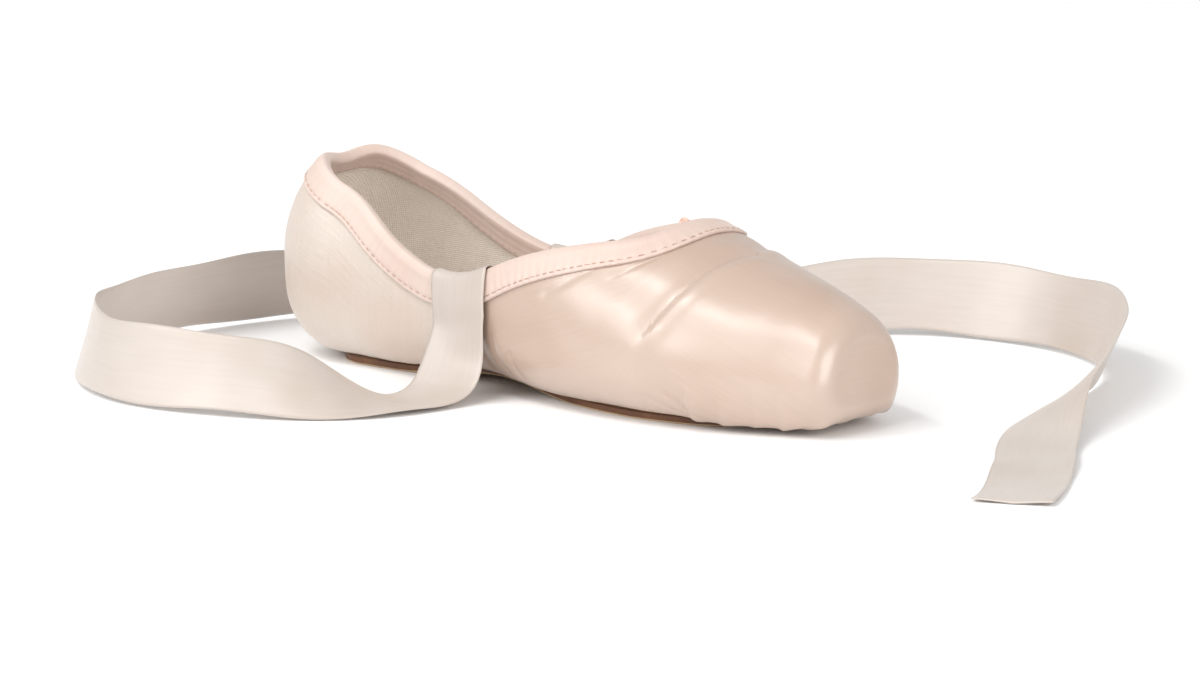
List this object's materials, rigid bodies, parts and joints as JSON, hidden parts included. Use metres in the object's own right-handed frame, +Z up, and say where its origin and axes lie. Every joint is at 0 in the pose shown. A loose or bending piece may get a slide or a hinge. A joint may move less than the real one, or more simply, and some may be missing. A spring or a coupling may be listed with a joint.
{
  "type": "pointe shoe",
  "caption": "Ballet pointe shoe: hollow satin upper with a flat stiffened toe, folded casing, narrow leather sole, insole and two loose ribbons.",
  "frame": {"origin": "on the floor, under the middle of the shoe's length and width", "axes": "+X towards the toe, +Y to the shoe's left, +Z up"},
  "size_m": [0.383, 0.2714, 0.0668],
  "materials": {
    "satin": "glossy pale peach-pink satin",
    "binding": "matt pale pink cotton casing",
    "seam": "pale thread",
    "leather": "matt brown sole leather",
    "insole": "matt cotton sock lining",
    "ribbon": "cream satin ribbon with woven edges",
    "cord": "matt pink cotton cord"
  },
  "bodies": {
    "root": {"upper": "satin", "binding": "binding", "side_seam_left": "seam", "side_seam_right": "seam", "back_seam": "seam", "outsole": "leather", "insole": "insole", "drawstring": "cord", "ribbon_left": "ribbon", "ribbon_right": "ribbon"}
  },
  "joints": []
}
